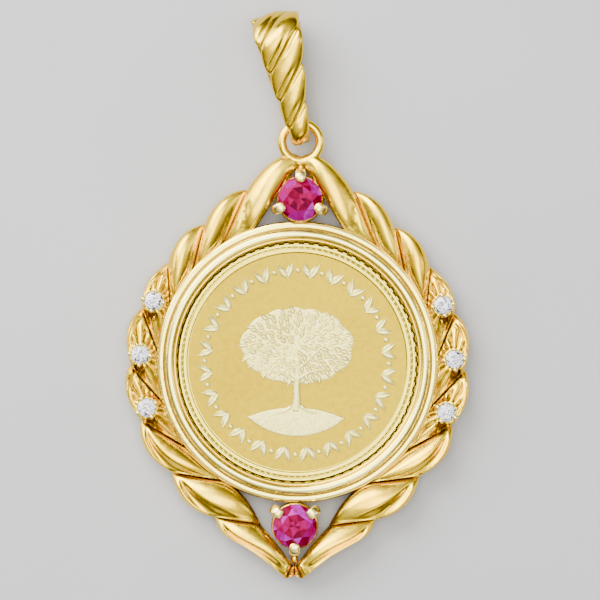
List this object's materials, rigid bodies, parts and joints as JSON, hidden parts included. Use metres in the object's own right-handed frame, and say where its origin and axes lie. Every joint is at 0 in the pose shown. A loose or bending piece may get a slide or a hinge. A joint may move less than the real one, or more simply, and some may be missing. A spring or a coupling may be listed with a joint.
{
  "type": "coin pendant",
  "caption": "Gold coin pendant: reeded coin in a round bezel, rope wreath frame with red and clear round stones, and a twisted bail on a top ring.",
  "frame": {"origin": "on the coin's axis, in the plane of the bezel's flat back, which the pendant rests on", "axes": "+Z out of the coin's face, +Y towards the top ring and bail, +X to the right as the coin is seen"},
  "size_m": [0.02, 0.033, 0.0038],
  "materials": {
    "gold": "polished 18 karat yellow gold with fine wear",
    "coin_gold": "fine gold, satin field with frosted relief",
    "ruby": "faceted, polished",
    "diamond": "faceted, polished"
  },
  "bodies": {
    "pendant": {"frame": "gold", "coin": "coin_gold", "ruby_top": "ruby", "ruby_bottom": "ruby", "diamond_left_1": "diamond", "diamond_left_2": "diamond", "diamond_left_3": "diamond", "diamond_right_1": "diamond", "diamond_right_2": "diamond", "diamond_right_3": "diamond"},
    "bail": {"bail": "gold"}
  },
  "joints": [
    {"name": "bail_swing", "type": "hinge", "parent": "pendant", "child": "bail", "pos_m": [-0.00025, 0.01383, 0.00142], "axis": [0.9744, 0.225, 0], "range_deg": [-100, 90]}
  ]
}
